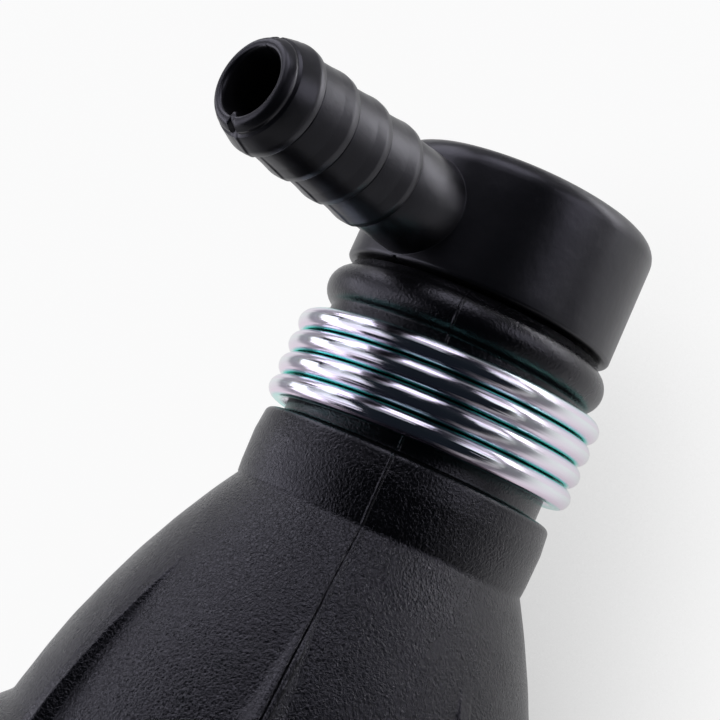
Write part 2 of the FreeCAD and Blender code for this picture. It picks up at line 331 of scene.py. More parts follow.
def moulded_rubber():
    """Black nitrile rubber from a steel mould with a fine leather grain: dull, with a soft dusty sheen.

    The finest of the real grain is too fine to show in the render, so the grain is drawn as coarse as it
    needs to show, and its pits are painted a little darker than its crests: painted shade and painted
    highlight.
    """
    material, tree, shader, place = start_material(
        "black_nitrile_rubber_moulded", IOR=1.57, Sheen_Weight=0.02, Sheen_Roughness=0.4,
        Specular_Tint=(0.92, 0.905, 1.0, 1.0),
    )
    grain_width = 0.27
    pebble_width = 0.24
    pebble_share = -0.3
    grain_depth = 0.13
    bloom_width = 7.0
    grain = add_node(tree, "ShaderNodeTexNoise", {
        "Vector": place, "Scale": 1 / grain_width, "Detail": 2.0, "Roughness": 0.6, "Distortion": 0.6,
    }).outputs["Fac"]
    pebbles = add_node(tree, "ShaderNodeTexVoronoi", {
        "Vector": place, "Scale": 1 / pebble_width,
    }, feature="SMOOTH_F1").outputs["Distance"]
    relief = add_node(tree, "ShaderNodeMath", {
        0: pebbles, 1: pebble_share, 2: grain,
    }, operation="MULTIPLY_ADD").outputs[0]
    textured = add_node(tree, "ShaderNodeAttribute", attribute_name="grain").outputs["Fac"]
    relief = add_node(tree, "ShaderNodeMath", {0: relief, 1: textured}, operation="MULTIPLY").outputs[0]
    bump = add_node(tree, "ShaderNodeBump", {
        "Height": relief, "Strength": 1.0, "Distance": grain_depth * MM,
    })
    tree.links.new(bump.outputs[0], shader.inputs["Normal"])
    bloom = add_node(tree, "ShaderNodeTexNoise", {
        "Vector": place, "Scale": 1 / bloom_width, "Detail": 4.0, "Roughness": 0.6,
    }).outputs["Fac"]
    # painted grain light: the grain's crests are painted lighter as a painted highlight, and its pits darker
    # as painted shade
    crest = add_node(tree, "ShaderNodeMapRange", {
        "Value": relief, "From Min": 0.25, "From Max": 0.6, "To Min": -0.25, "To Max": 0.3,
    }).outputs[0]
    # the rubber's bloom of dust, plus the painted highlight and painted shade of the grain
    dust_and_painted_grain_light = add_node(tree, "ShaderNodeMath", {0: bloom, 1: crest}, operation="ADD", use_clamp=True).outputs[0]
    colour = add_node(tree, "ShaderNodeMix", {
        "Factor": dust_and_painted_grain_light, "A": linear("#08080a"), "B": linear("#131316"),
    }, data_type="RGBA")
    tree.links.new(colour.outputs["Result"], shader.inputs["Base Color"])
    roughness = add_node(tree, "ShaderNodeMapRange", {
        "Value": bloom, "From Min": 0.3, "From Max": 0.7, "To Min": 0.23, "To Max": 0.32,
    })
    tree.links.new(roughness.outputs[0], shader.inputs["Roughness"])
    return material


def satin_nylon():
    """Black injection-moulded nylon: satin, with a faint orange peel and duller patches from handling."""
    material, tree, shader, place = start_material(
        "black_nylon_moulded", IOR=1.62, Specular_Tint=(0.92, 0.905, 1.0, 1.0),
    )
    peel_width = 1.1
    peel_depth = 0.06
    patch_width = 4.5
    speck_width = 0.35
    speck_share = 0.25
    peel = add_node(tree, "ShaderNodeTexNoise", {
        "Vector": place, "Scale": 1 / peel_width, "Detail": 3.0, "Roughness": 0.5,
    }).outputs["Fac"]
    bump = add_node(tree, "ShaderNodeBump", {
        "Height": peel, "Strength": 0.35, "Distance": peel_depth * MM,
    })
    tree.links.new(bump.outputs[0], shader.inputs["Normal"])
    patches = add_node(tree, "ShaderNodeTexNoise", {
        "Vector": place, "Scale": 1 / patch_width, "Detail": 5.0, "Roughness": 0.62,
    }).outputs["Fac"]
    specks = add_node(tree, "ShaderNodeTexNoise", {
        "Vector": place, "Scale": 1 / speck_width, "Detail": 1.0,
    }).outputs["Fac"]
    wear = add_node(tree, "ShaderNodeMath", {
        0: specks, 1: speck_share, 2: patches,
    }, operation="MULTIPLY_ADD").outputs[0]
    roughness = add_node(tree, "ShaderNodeMapRange", {
        "Value": wear, "From Min": 0.35, "From Max": 0.9, "To Min": 0.28, "To Max": 0.37,
    })
    tree.links.new(roughness.outputs[0], shader.inputs["Roughness"])
    colour = add_node(tree, "ShaderNodeMix", {
        "Factor": wear, "A": linear("#101012"), "B": linear("#19191b"),
    }, data_type="RGBA")
    tree.links.new(colour.outputs["Result"], shader.inputs["Base Color"])
    return material


def zinc_plated_wire():
    """Spring wire with bright zinc and a clear blue passivation, which leaves a teal and a pink cast along
    the turns. The drawing die left fine lines along the wire, and it is duller where the turns rub."""
    material, tree, shader, place = start_material("zinc_plated_spring_wire", Metallic=1.0)
    around = add_node(tree, "ShaderNodeUVMap", uv_map="wire").outputs["UV"]
    line_count = 30.0  # round the wire
    line_length = 20.0
    line_depth = 0.06
    lines = add_node(tree, "ShaderNodeVectorMath", {
        0: around, 1: (1 / line_length, line_count, 0.0),
    }, operation="MULTIPLY")
    drawn = add_node(tree, "ShaderNodeTexNoise", {
        "Vector": lines.outputs[0], "Scale": 1.0, "Detail": 3.0, "Roughness": 0.6,
    }, noise_dimensions="2D").outputs["Fac"]
    bump = add_node(tree, "ShaderNodeBump", {
        "Height": drawn, "Strength": 0.5, "Distance": line_depth * MM,
    })
    tree.links.new(bump.outputs[0], shader.inputs["Normal"])
    across = add_node(tree, "ShaderNodeSeparateXYZ", {0: around}).outputs["Y"]
    half_turn = add_node(tree, "ShaderNodeMath", {0: across, 1: 0.5}, operation="WRAP").outputs[0]
    touch = 0.25  # the wire touches the next turn a quarter and three quarters of the way round
    from_touch = add_node(tree, "ShaderNodeMath", {0: half_turn, 1: touch}, operation="SUBTRACT").outputs[0]
    from_touch = add_node(tree, "ShaderNodeMath", {0: from_touch}, operation="ABSOLUTE").outputs[0]
    rubbed = add_node(tree, "ShaderNodeMapRange", {
        "Value": from_touch, "From Min": 0.03, "From Max": 0.1, "To Min": 0.36, "To Max": 0.0,
    }, interpolation_type="SMOOTHSTEP").outputs[0]
    polished = add_node(tree, "ShaderNodeMapRange", {
        "Value": drawn, "From Min": 0.3, "From Max": 0.7, "To Min": 0.08, "To Max": 0.18,
    }).outputs[0]
    roughness = add_node(tree, "ShaderNodeMath", {0: polished, 1: rubbed}, operation="ADD")
    tree.links.new(roughness.outputs[0], shader.inputs["Roughness"])
    cast = add_node(tree, "ShaderNodeValToRGB", {"Fac": across})
    stops = {  # share of the way round the wire, from its outer side
        0.0: "#f0f4f8", 0.06: "#f0e6f4", 0.1: "#e8e6f4", 0.15: "#cdeef0", 0.21: "#8fe6dc", 0.29: "#a9ece4",
        0.37: "#ece6f2", 0.63: "#ece6f2", 0.71: "#a9ece4", 0.79: "#93e6de", 0.85: "#f0dcf0", 1.0: "#f0f4f8",
    }
    ramp = cast.color_ramp
    ramp.elements[0].color = linear(stops[0.0])
    ramp.elements[1].color = linear(stops[1.0])
    for place_on_ramp, hex_text in list(stops.items())[1:-1]:
        ramp.elements.new(place_on_ramp).color = linear(hex_text)
    tree.links.new(cast.outputs["Color"], shader.inputs["Base Color"])
    return material


def mottled(name, mottle_width, noise, colours, roughness, **shader_values):
    """A material whose colour and roughness follow one noise, with mottles of a width in millimetres."""
    material, tree, shader, place = start_material(name, **shader_values)
    mottle = add_node(tree, "ShaderNodeTexNoise", {
        "Vector": place, "Scale": 1 / mottle_width, **noise,
    }).outputs["Fac"]
    colour = add_node(tree, "ShaderNodeMix", {
        "Factor": mottle, "A": linear(colours[0]), "B": linear(colours[1]),
    }, data_type="RGBA")
    tree.links.new(colour.outputs["Result"], shader.inputs["Base Color"])
    roughness = add_node(tree, "ShaderNodeMapRange", {
        "Value": mottle, "To Min": roughness[0], "To Max": roughness[1],
    })
    tree.links.new(roughness.outputs[0], shader.inputs["Roughness"])
    return material


rubber = moulded_rubber()
nylon = satin_nylon()
zinc = zinc_plated_wire()

# Natural white acetal, moulded: waxy, slightly see-through at the edges, with faint flow marks
acetal = mottled(
    "white_acetal_moulded", mottle_width=1.6, noise={"Detail": 3.0, "Distortion": 1.2},
    colours=("#dedad0", "#e9e6de"), roughness=(0.28, 0.42),
    IOR=1.48, Subsurface_Weight=0.12, Subsurface_Scale=0.8 * MM,
)

# Smooth black nitrile sheet, punched out: matte with a few lighter talc marks
seal = mottled(
    "black_nitrile_sheet", mottle_width=0.9, noise={"Detail": 5.0, "Roughness": 0.7},
    colours=("#121213", "#2a2a2b"), roughness=(0.5, 0.7), IOR=1.5,
)

# Stainless spring wire as drawn: bright grey with fine mottling
stainless = mottled(
    "stainless_wire_drawn", mottle_width=0.25, noise={"Detail": 3.0},
    colours=("#a9a7a2", "#c4c2bd"), roughness=(0.2, 0.34), Metallic=1.0,
)


# Bulb, in two halves that meet at the mould's parting plane

arc_rise = bulb_radius - bulb_end_radius
arc_radius = (bulb_half_length**2 + arc_rise**2) / (2 * arc_rise)
arc_centre = bulb_radius - arc_radius


def arc_radius_at(place):
    """The radius of the plain arc that the skin follows between the collars."""
    return arc_centre + np.sqrt(arc_radius**2 - place**2)


def nearest_middle(angle, first_middle):
    """The middle of the rib or flat that is nearest to each angle, from the middle of any one of them."""
    return np.round((angle - first_middle) / rib_spacing) * rib_spacing + first_middle


def arrow_rise(place, angle, radius):
    """How far the raised arrows on the two side flats stand up."""
    rise = np.zeros(np.broadcast(place, angle).shape)
    for flat in (90, 270):
        across = radius * np.sin(np.radians(angle - flat))
        facing = np.cos(np.radians(angle - flat)) > 0
        tip = arrow_length / 2
        neck = tip - arrow_head_length
        slope = arrow_width / 2 / arrow_head_length
        from_head_side = ((tip - place) * slope - np.abs(across)) / math.hypot(1, slope)
        head = np.minimum(place - neck, from_head_side)
        along_shaft = np.minimum(place + tip, neck + arrow_shaft_overlap - place)
        shaft = np.minimum(arrow_shaft_width / 2 - np.abs(across), along_shaft)
        inside = np.maximum(head, shaft)
        rise += np.where(facing, arrow_height * smooth_step(inside, arrow_edge_start, arrow_edge_stop), 0)
    return rise


def skin_radius(place, angle, rib_offset, rib_size, at_parting):
    """The outside of the bulb between its collars: an arc, the grip band and the ribs."""
    base = arc_radius_at(place)
    from_flat = angle - nearest_middle(angle, 0)
    flats = band_flat_radius / np.cos(np.radians(from_flat))
    flats = soft_min(flats, band_corner_radius, band_edge_round)
    band_end = band_corner_radius - (np.abs(place) - band_half_length)
    radius = soft_max(base, soft_min(flats, band_end, band_edge_round), band_edge_round)
    share = np.minimum((rib_first_place - np.abs(place)) / (rib_first_place - rib_last_place), 1)
    rise = 1 - (1 - share) ** rib_rise_power
    top = base + rib_size * rib_height * rise - rib_end_sink * (1 - share)
    slope = np.where(at_parting, parting_rib_flank_slope, rib_flank_slope)
    top_width = np.where(at_parting, parting_rib_top_width, rib_top_width)
    flank = top - slope * (np.abs(rib_offset) - top_width / 2)
    radius = soft_max(radius, soft_min(top, flank, rib_edge_round), rib_foot_round)
    return radius + arrow_rise(place, angle, radius)


def neck_outline():
    """One end of the bulb outside, from the foot of its slightly crowned collar to the end face."""
    collar_and_groove = rounded([
        (bulb_half_length + 0.15, collar_radius - 0.17, 0),
        (collar_end - 5.4, collar_radius - 0.09, 0),
        (collar_end - 2.4, collar_radius, 1.6),  # the collar's crown
        (collar_end, collar_radius - 0.22, 0.6),  # its edge
        (collar_end, neck_radius, 0.35),  # the start of the clamp coil's groove
        (bead_start - 0.2, neck_radius, 0),
    ])
    bead_steps = 13
    lift = bead_radius - neck_radius
    half = (bead_stop - bead_start) / 2
    bead_round = (half**2 + lift**2) / (2 * lift)
    spread = math.asin(half / bead_round)
    turn = np.linspace(-spread, spread, bead_steps)
    centre = np.array([(bead_start + bead_stop) / 2, bead_radius - bead_round])
    bead = centre + bead_round * np.stack([np.sin(turn), np.cos(turn)], axis=-1)
    end = rounded([
        (bead_stop, neck_radius, 0),
        (neck_end, neck_end_radius, 0.15),
        (neck_end, neck_bore_radius, 0),
    ])
    return np.concatenate([collar_and_groove, bead, end[1:]])


def half_columns():
    """Columns of points round one half: the rib each belongs to, its distance from that rib's middle, and its
    share of the way to the next rib's columns."""
    beside_rib = [0, 0.06, 0.13, 0.21, 0.3, 0.4, 0.52, 0.64, 0.76, 0.9, 1.04, 1.18, 1.34, 1.6, 2.1, 2.8]
    plain_columns = 15
    rib_gaps = 4
    columns = []
    for rib in range(rib_gaps):
        columns += [(rib, off, 0.0) for off in beside_rib]
        columns += [(rib, beside_rib[-1], share) for share in np.linspace(0, 1, plain_columns + 2)[1:]]
        columns += [(rib + 1, -off, 0.0) for off in beside_rib[::-1][1:-1]]
    columns.append((rib_gaps, 0.0, 0.0))
    return np.array(columns).T


def with_parting_line(radius, place, seam, flash_share):
    """The outside with a groove and flash along the skin's parting line, and a line on collars and beads.

    The seam is the distance round the bulb from the parting line.
    """
    on_collar = smooth_step(np.abs(place), bulb_half_length - 0.6, bulb_half_length + 0.4)
    past_collar = smooth_step(np.abs(place), collar_end - 0.3, collar_end + 0.1)
    on_rib = near_to(np.abs(place), rib_first_place - rib_rise_run, rib_first_place)
    ragged = 0.75 + 0.25 * np.sin(place * 7.3) * np.sin(place * 3.1 + 2)  # the flash's height isn't even
    flash = flash_share * ragged * (flash_height + rib_flash_extra_height * on_rib)
    from_flash = np.abs(seam - flash_place - rib_flash_extra_place * on_rib)
    groove = groove_depth + rib_groove_extra_depth * on_rib
    groove_edge = groove_half_width + rib_groove_extra_half_width * on_rib
    line = collar_line_height + (neck_line_height - collar_line_height) * past_collar
    radius = radius + (1 - on_collar) * flash * near_to(from_flash, flash_top_half_width, flash_half_width)
    radius = radius - (1 - on_collar) * groove * near_to(seam, 0, groove_edge)
    return radius + on_collar * line * near_to(seam, line_top_half_width, line_half_width)


def skin_wave(place, angle):
    """Slow unevenness of a rubber skin, from -1 to 1."""
    wave = (
        np.sin(angle * 0.31 + place * 0.9) + np.sin(angle * 0.17 - place * 0.63 + 1.3)
        + np.sin(angle * 0.09 + place * 1.7 + 4.0)
    )
    return wave / 3


def half_bulb(name, first_angle, flash_share):
    """One moulded half of the bulb: its outside, its bore and the two faces where it meets the other."""
    rib_index, rib_reach, between = half_columns()

    def angles(radius):
        """Column angles at radii that are one per row."""
        reach = np.degrees(rib_reach / radius[:, None])
        plain = reach + between * (rib_spacing - 2 * reach)
        return first_angle + rib_spacing * rib_index + np.where(between > 0, plain, reach)

    neck = neck_outline()
    skin_places = np.arange(-bulb_half_length, bulb_half_length + skin_step / 2, skin_step)
    place = np.concatenate([-neck[::-1, 0], skin_places, neck[:, 0]])[:, None]
    base = np.concatenate([neck[::-1, 1], arc_radius_at(skin_places), neck[:, 1]])
    angle = angles(base)
    base = base[:, None]
    is_skin = np.zeros_like(base)
    is_skin[len(neck):-len(neck)] = 1
    nearest_rib = nearest_middle(angle, parting_angle)
    rib_offset = np.radians(angle - nearest_rib) * base
    rib_size = np.where(np.abs(nearest_rib - first_angle - 90) < 1, low_rib_share, 1.0)
    at_parting = np.abs((nearest_rib - first_angle + 90) % 180 - 90) < 1
    on_arc = np.clip(place, -bulb_half_length, bulb_half_length)
    skin = skin_radius(on_arc, angle, rib_offset, rib_size, at_parting)
    from_parting = np.minimum(np.abs(angle - first_angle), np.abs(angle - first_angle - 180))
    seam = np.radians(from_parting) * base
    radius = with_parting_line(np.where(is_skin, skin, base), place, seam, flash_share)
    # The waves only lower the skin, so that it stays inside the box
    radius += skin_waviness * (skin_wave(place, angle) - 1) * is_skin
    outside = spot(place, radius, angle)

    cavity_places = skin_places[::-2]
    cavity_radii = arc_centre + np.sqrt((arc_radius - bulb_wall) ** 2 - cavity_places**2)
    bore = np.concatenate([
        [[cavity_narrow_place, neck_bore_radius]],
        np.stack([cavity_places, cavity_radii], axis=-1),
        [[-cavity_narrow_place, neck_bore_radius]],
    ])
    inside = spot(bore[:, :1], bore[:, 1:], angles(bore[:, 1]))
    points = np.concatenate([outside, inside])
    row_count, column_count = points.shape[:2]
    faces = quads(row_count, column_count, wrap_rows=True)
    first_column = np.arange(row_count) * column_count
    faces.append(first_column.tolist())
    faces.append((first_column + column_count - 1)[::-1].tolist())
    made = new_piece(name, points, faces, rubber, sharp_angle=60)
    shape = bmesh.new()
    shape.from_mesh(made.data)
    bmesh.ops.triangulate(shape, faces=[f for f in shape.faces if len(f.verts) > 4])
    shape.to_mesh(made.data)
    shape.free()
    return made


def places_of(made):
    """Place along the axis, radius and angle of each of a mesh's points."""
    co = np.zeros(len(made.data.vertices) * 3)
    made.data.vertices.foreach_get("co", co)
    x, y, z = (co.reshape(-1, 3) / MM - [middle, 0, axis_height]).T
    return x, np.hypot(y, z), np.degrees(np.arctan2(-y, z))


def paint_grain(made):
    """Marks how strong the mould's grain is: full on the skin, less on ribs, collars, necks and beads,
    and none in the bore."""
    grain = made.data.attributes.new("grain", "FLOAT", "POINT")
    x, radius, angle = places_of(made)
    rib_offset = np.abs(np.radians(angle - nearest_middle(angle, parting_angle))) * radius
    base = arc_radius_at(np.minimum(np.abs(x), bulb_half_length))
    on_rib = near_to(rib_offset, 0.4, 0.9) * near_to(np.abs(x), 30, 33)
    on_collar = smooth_step(np.abs(x), bulb_half_length - 1.5, bulb_half_length + 0.5)
    on_neck = smooth_step(np.abs(x), collar_end - 1.2, collar_end - 0.2)
    inside = (radius < base - bulb_wall / 2) & (np.abs(x) < bulb_half_length)
    rib_loss, collar_loss, neck_loss = 0.4, 0.3, 0.35
    value = (1 - rib_loss * on_rib) * (1 - collar_loss * on_collar - neck_loss * on_neck) * ~inside
    grain.data.foreach_set("value", value.astype(np.float32))


squeeze_start = 14.0  # from the axis, just outside the clamped necks, which keep still
squeeze_end = 27.5
for name, wall_body, wall_node, turn, flash_share in (
    ("bulb_near_half", "near_wall", "near_squeeze_wall", 0, near_flash_share),
    ("bulb_far_half", "far_wall", "far_squeeze_wall", 180, far_flash_share),
):
    half = half_bulb(name, parting_angle + turn, flash_share)
    paint_grain(half)
    first = spot(0, squeeze_start, squeeze_angle + turn) * MM
    last = spot(0, squeeze_end, squeeze_angle + turn) * MM
    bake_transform(half)
    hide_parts("bulb", wall_node)


# Hose barbs

def barb_outline():
    """(back from the mouth, radius) of the barb outside, from the bore's edge to behind the last crest."""
    corners = [
        (0.6, barb_bore_radius, 0),
        (lip_place, barb_bore_radius + 0.16, 0.3),
        (lip_place, 3.62, 0.75),
        (0.85, 4.06, 0.4),  # the back of the rounded lip
        (1.1, 4.02, 0.1),
        (1.3, 4.26, 0.15),  # the start of the first cone
    ]
    for k in range(barb_crest_count):
        crest = barb_first_crest + k * barb_pitch
        if k > 0:
            corners.append((crest - barb_pitch + 0.35, barb_valley_radius + 0.02, 0.1))
        corners += [
            (crest - 1.8, barb_crest_radius - (0.16 if k > 0 else 0.36), 1.8),  # part way up the cone
            (crest - 0.7, barb_crest_radius + 0.02, 1.0),
            (crest - 0.02, barb_crest_radius - 0.02, 0.14),  # the crest's edge
            (crest + 0.04, barb_valley_radius - 0.06, 0.05),
            (crest + 0.2, barb_valley_radius - 0.06, 0.05),
        ]
    corners.append((crest + 0.5, barb_valley_radius + 0.04, 0))
    return rounded(corners, steps=5)


def mould_columns():
    """Angles round a moulding, closer together at its two mould lines at 0 and 180."""
    beside_line = np.array([0, 0.8, 1.6, 2.6, 4.0, 6.0, 9.0])
    plain = np.arange(13.0, 168.0, 4.6)
    half = np.concatenate([beside_line, plain, 180 - beside_line[::-1][:-1]])
    return np.concatenate([half, half + 180])


def mould_ridge(back, turn):
    """The flash that stands up along a barb's mould lines, highest part way along each cone, less the slit
    in the lip."""
    along = (back - barb_first_crest) % barb_pitch / barb_pitch
    last_crest = barb_first_crest + (barb_crest_count - 1) * barb_pitch
    hump = np.sin(math.pi * along) ** 0.6
    first_hump = smooth_step(back, -0.1, 0.5) * (1 - 0.6 * smooth_step(back, 2.2, 3.6))
    hump = np.where(back < barb_first_crest, first_hump, hump)
    hump = np.where(back > last_crest, 0.25, hump)
    from_under = np.abs((turn + 180) % 360 - 180)
    from_over = np.abs(turn - 180)
    under = under_ridge_height * near_to(from_under, 1.2, 3.4)
    over = over_ridge_height * near_to(from_over, 0.8, 2.8)
    slit = lip_slit_depth * near_to(back, 0.9, 1.3) * near_to(from_under, 2.6, 5.5)
    return hump * (under + over) - slit


def ring_points(origin, back_way, side_way, back, radius, turn):
    """Rings of points round a barb's axis, from distances back along it, radii and angles."""
    other_way = np.cross(back_way, side_way)
    turn = np.radians(turn)
    back, radius, turn = np.broadcast_arrays(back, radius, turn)
    return (
        origin + back[..., None] * back_way
        + (radius * np.cos(turn))[..., None] * side_way
        + (radius * np.sin(turn))[..., None] * other_way
    )


turns = mould_columns()
no_turn = np.zeros_like(turns)  # widens a column of values to every angle
outward = spot(0, 1, barb_angle) - spot(0, 0, barb_angle)
along_axis = np.array([1.0, 0, 0])


def cap_surface(place):
    """The cap's outside radius at a place along the axis."""
    from_top = np.clip(place - (cap_top - cap_top_round), 0, cap_top_round)
    return cap_radius - cap_top_round + np.sqrt(cap_top_round**2 - from_top**2)


def elbow_barb():
    """The side barb with its small fillet on the round cap, and its bore down to the chamber."""
    outline = barb_outline()
    back = outline[:, :1] + no_turn
    radius = outline[:, 1:] + mould_ridge(back, turns)
    turn = np.radians(turns)
    fillet_steps = 9

    def reach(size):
        """How far out the cap's surface is, at a distance from the barb's axis."""
        surface = cap_surface(elbow_barb_place - size * np.cos(turn))
        return np.sqrt(surface**2 - (size * np.sin(turn)) ** 2)

    foot = reach(barb_root_radius + barb_fillet)
    corner = reach(barb_root_radius)
    top = corner + barb_fillet
    root = [(top + 2.0, barb_root_radius - 0.06), (top + 1.0, barb_root_radius - 0.02)]
    for step in np.linspace(0, 1, fillet_steps):
        out = (1 - step) ** 2 * top + 2 * step * (1 - step) * corner + step**2 * foot
        root.append((out, barb_root_radius + step**2 * barb_fillet))
    root += [
        (foot - 0.06, barb_root_radius + barb_fillet + 0.1),
        (barb_stub_start, barb_root_radius + 0.2),
        (barb_stub_start, barb_stub_radius),
        (barb_stub_end, barb_stub_radius),
        (barb_stub_end, barb_bore_radius),
    ]
    back = np.concatenate([back, [elbow_barb_reach - out + no_turn for out, size in root]])
    radius = np.concatenate([radius, [size + no_turn for out, size in root]])
    mouth = spot(elbow_barb_place, elbow_barb_reach, barb_angle)
    points = ring_points(mouth, -outward, -along_axis, back, radius, turns)
    faces = quads(*points.shape[:2], wrap_rows=True, wrap_columns=True)
    return new_piece("elbow_side_barb", points, faces, nylon)


def spigot_outline(last_place):
    """Corners of a toothed spigot outside, from a place under the flange to its free end."""
    shank_radius = spigot_root_radius + 0.2
    corners = [(last_place, shank_radius, 0)]
    for k in (3, 2, 1):
        crest = spigot_start + spigot_pitch * k
        corners += [
            (crest, shank_radius if k == 3 else spigot_root_radius, 0.1),
            (crest, spigot_crest_radius, 0.1),
            (crest - 0.6, spigot_crest_radius, 0.2),
        ]
    return corners + [
        (spigot_start, spigot_end_radius, 0.2),
        (spigot_start, spigot_bore_radius, 0.1),
        (spigot_bore_end, spigot_bore_radius, 0),
        (spigot_bore_end, chamber_radius, 0),
    ]


def elbow_cap():
    """The round cap with its spigot, a roofed chamber and a slit at the foot where the mould closes."""
    corners = [
        (cap_top, 0.0, 0),
        (cap_top, cap_radius, cap_top_round),
        (cap_top - 4.5, cap_radius, 0),
        (cap_under + cap_slit_height + 0.05, cap_radius, 0),  # two close rows, between which the slit ends
        (cap_under + cap_slit_height - 0.05, cap_radius, 0),
        (cap_under, cap_radius, cap_foot_round),
    ] + spigot_outline(cap_under) + [(cap_roof_place, chamber_radius, 0.8), (cap_roof_place, 0.0, 0)]
    outline = rounded(corners, steps=9)
    place = outline[:, :1]
    radius = outline[:, 1:] + no_turn
    from_slit = np.abs((turns + 180) % 360 - 180)
    from_line = np.abs(turns - 180)
    outer_wall = (radius > cap_radius - 1.0) & (place > cap_under - 0.01)  # the spigot isn't part of it
    slit = cap_slit_depth * near_to(from_slit, 0.3, 0.9) * (place < cap_under + cap_slit_height)
    line = cap_mould_line_height * near_to(from_line, 0.5, 1.7)
    radius += outer_wall * (line - slit)
    points = spot(place, radius, barb_angle + turns)
    faces = quads(*points.shape[:2], wrap_columns=True)
    return new_piece("elbow_cap_and_spigot", points, faces, nylon)


def cut_passage(cap):
    """Opens the cap's wall where the barb's bore reaches the chamber."""
    outer_end = elbow_barb_reach - passage_end
    inner_end = elbow_barb_reach - passage_start
    near_axis = 0.01
    rows = np.array([
        [outer_end, near_axis],
        [outer_end, passage_radius],
        [inner_end, passage_radius],
        [inner_end, near_axis],
    ])
    mouth = spot(elbow_barb_place, elbow_barb_reach, barb_angle)
    cutter_turns = np.arange(0, 360, 7.5)
    points = ring_points(mouth, -outward, -along_axis, rows[:, :1], rows[:, 1:], cutter_turns)
    faces = quads(*points.shape[:2], wrap_rows=True, wrap_columns=True)
    cutter = new_piece("passage_cutter", points, faces, nylon)
    cut = cap.modifiers.new("passage", "BOOLEAN")
    cut.operation = "DIFFERENCE"
    cut.solver = "EXACT"
    cut.object = cutter
    evaluated = cap.evaluated_get(bpy.context.evaluated_depsgraph_get())
    opened = bpy.data.meshes.new_from_object(evaluated)
    cap.modifiers.clear()
    cap.data = opened
    bpy.data.objects.remove(cutter)


def inlet_fitting():
    """Spigot, flange and straight barb, one moulding on the axis at the inlet end."""
    mouth_place = flange_top + barb_length
    bore_step_place = spigot_bore_end + 4.0
    outline = barb_outline()
    barb_points = np.stack([mouth_place - outline[:, 0], outline[:, 1]], axis=-1)
    rest = rounded([
        (flange_top + 3.0, barb_valley_radius + 0.1, 0),
        (flange_top, barb_root_radius, 1.2),
        (flange_top, cap_radius, 0.8),
        (cap_under, cap_radius, cap_foot_round),
    ] + spigot_outline(cap_under) + [
        (bore_step_place, chamber_radius, 0.3),  # the chamber narrows to the barb's bore at 45 degrees
        (bore_step_place + chamber_radius - barb_bore_radius, barb_bore_radius, 0.3),
        (mouth_place - 1.0, barb_bore_radius, 0),
    ])
    outline = np.concatenate([barb_points, rest])
    place = outline[:, :1]
    back = mouth_place - place + no_turn
    outer_barb = (np.arange(len(outline)) < len(barb_points))[:, None]
    radius = outline[:, 1:] + np.where(outer_barb, mould_ridge(back, turns), 0)
    points = spot(-place, radius, barb_angle + turns)
    faces = quads(*points.shape[:2], wrap_rows=True, wrap_columns=True)
    return new_piece("inlet_connector_moulding", points, faces, nylon)


barb_piece = elbow_barb()
cap_piece = elbow_cap()
cut_passage(cap_piece)
for made in (barb_piece, cap_piece):
    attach(made, "outlet_fitting")
    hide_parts("outlet_elbow")
connector = inlet_fitting()
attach(connector, "bulb_body")
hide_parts("inlet_connector")


# Clamp coils

def wound_wire(start, pitch, turns, radius, thickness, first_angle, side=1, steps_per_turn=110, facets=36):
    """Points of a round wire wound round the axis, with flat cut ends whose edges are rounded off.

    Side -1 is the same wire turned end for end.
    """
    turn = np.linspace(0, 360 * turns, turns * steps_per_turn + 1)
    end_face = [0.0, 0.86, 0.97]  # shares of the wire's radius
    size = np.concatenate([end_face, np.ones(len(turn)), end_face[::-1]]) * thickness / 2
    turn = np.pad(turn, len(end_face), mode="edge")
    place = start + pitch * turn / 360
    around = np.radians(np.arange(facets) * 360 / facets)
    wire_place = place[:, None] + size[:, None] * np.sin(around)
    wire_reach = radius + size[:, None] * np.cos(around)
    return spot(side * wire_place, wire_reach, side * (first_angle + turn[:, None]))


def clamp_coil(name, side):
    """Four close turns of round wire, with cut ends that face away from the camera."""
    points = wound_wire(
        coil_place, coil_pitch, coil_turns, coil_radius, 2 * wire_radius, coil_end_angle, side,
    )
    faces = quads(*points.shape[:2], wrap_columns=True)
    return new_piece(name, points, faces, zinc)


def map_wire(made, side):
    """Lays the wire out flat: millimetres along it, and the share of the way round it from its outer side.

    A cut end's face is one point of that layout, so that the drawn lines don't run over it.
    """
    layer = made.data.uv_layers.new(name="wire")
    x, radius, angle = places_of(made)
    turned = (side * angle - coil_end_angle) % 360
    loops = np.zeros(len(made.data.loops), int)
    made.data.loops.foreach_get("vertex_index", loops)
    place = side * x
    nearest = np.round((place - coil_place - coil_pitch * turned / 360) / coil_pitch)
    from_centre = place - (coil_place + coil_pitch * (turned / 360 + np.clip(nearest, 0, coil_turns)))
    reach = radius - coil_radius
    across = np.degrees(np.arctan2(from_centre, reach)) / 360 % 1
    inside_share = 0.985  # of the wire's radius: points nearer to its centre are on a cut end
    on_end_face = np.hypot(from_centre, reach) < inside_share * wire_radius
    run = np.radians(turned + 360 * nearest) * coil_radius
    uv = np.stack([run[loops], across[loops]], axis=-1)
    starts = np.zeros(len(made.data.polygons), int)
    totals = np.zeros(len(made.data.polygons), int)
    made.data.polygons.foreach_get("loop_start", starts)
    made.data.polygons.foreach_get("loop_total", totals)
    for start, total in zip(starts, totals):
        part = uv[start:start + total]
        if on_end_face[loops[start:start + total]].any():
            part[:] = part[0, 0], 0
        elif part[:, 1].max() - part[:, 1].min() > 0.5:
            part[part[:, 1] < 0.5, 1] += 1
    layer.data.foreach_set("uv", uv.ravel())


for name, side, node in (
    ("outlet_clamp_wire", 1, "outlet_clamp_coil"),
    ("inlet_clamp_wire", -1, "inlet_clamp_coil"),
):
    coil = clamp_coil(name, side)
    map_wire(coil, side)
    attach(coil, "bulb_body")
    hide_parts(node)
